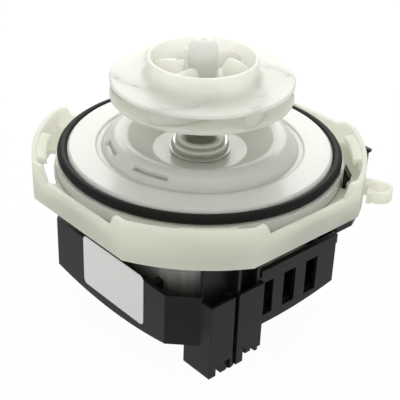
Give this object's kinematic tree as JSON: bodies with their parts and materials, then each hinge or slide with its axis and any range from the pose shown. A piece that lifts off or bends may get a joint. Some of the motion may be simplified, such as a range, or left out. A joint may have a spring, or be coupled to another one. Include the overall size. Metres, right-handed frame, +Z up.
{
  "type": "dishwasher circulation pump",
  "caption": "Wash pump with a closed impeller on a vertical shaft, a square bayonet flange with sealing ring and an open-frame motor with plug sockets.",
  "frame": {"origin": "on the shaft axis, in the plane of the cover plate's shoulder that carries the sealing ring", "axes": "+Z up the shaft to the impeller's nose, +X out of the motor frame's face with the air slots and the sockets, -Y out of the face with the bare rating plate"},
  "size_m": [0.1417, 0.1395, 0.1286],
  "materials": {
    "white_plastic": "satin, slightly translucent",
    "impeller_plastic": "satin, slightly translucent",
    "black_plastic": "satin",
    "black_rubber": "smooth",
    "stainless_steel": "ground",
    "polished_steel": "polished",
    "electrical_steel": "stacked sheets",
    "cast_aluminium": "as cast",
    "sintered_bronze": "porous, oiled",
    "felt": "oiled felt",
    "spring_steel": "bright",
    "carbon": "lapped",
    "ceramic": "lapped",
    "copper_wire": "enamelled wire",
    "bobbin_plastic": "satin",
    "zinc_steel": "zinc plated",
    "tin_brass": "tin plated",
    "blank_label": "satin film"
  },
  "bodies": {
    "housing": {"bayonet_flange": "white_plastic", "cover_plate": "white_plastic", "sealing_ring": "black_rubber", "front_bracket": "black_plastic", "bracket_screws": "zinc_steel", "stator_stack": "electrical_steel", "coil_bobbins": "bobbin_plastic", "windings": "copper_wire", "motor_frame": "black_plastic", "terminal_blades": "tin_brass", "stator_bolts": "zinc_steel", "label_plate": "blank_label", "front_bush": "sintered_bronze", "rear_bush": "sintered_bronze", "front_felt": "felt", "rear_felt": "felt", "front_retainer": "spring_steel", "rear_retainer": "spring_steel", "seal_cup": "polished_steel", "seal_spring": "spring_steel"},
    "rotor": {"impeller_base": "impeller_plastic", "impeller_shroud": "impeller_plastic", "shaft": "stainless_steel", "rotor_core": "electrical_steel", "front_end_ring": "cast_aluminium", "rear_end_ring": "cast_aluminium", "thrust_washers": "bobbin_plastic", "seal_seat": "ceramic", "seal_boot": "black_rubber"},
    "seal_face": {"seal_face": "carbon"}
  },
  "joints": [
    {"name": "rotor_spin", "type": "hinge", "parent": "housing", "child": "rotor", "pos_m": [0, 0, 0], "axis": [0, 0, 1], "continuous": true},
    {"name": "seal_face_slide", "type": "slide", "parent": "housing", "child": "seal_face", "axis": [0, 0, 1], "range_m": [-0.0012, 0], "stiffness_N_per_m": 600, "springref_m": 0.006, "deforming": ["seal_spring"]}
  ]
}
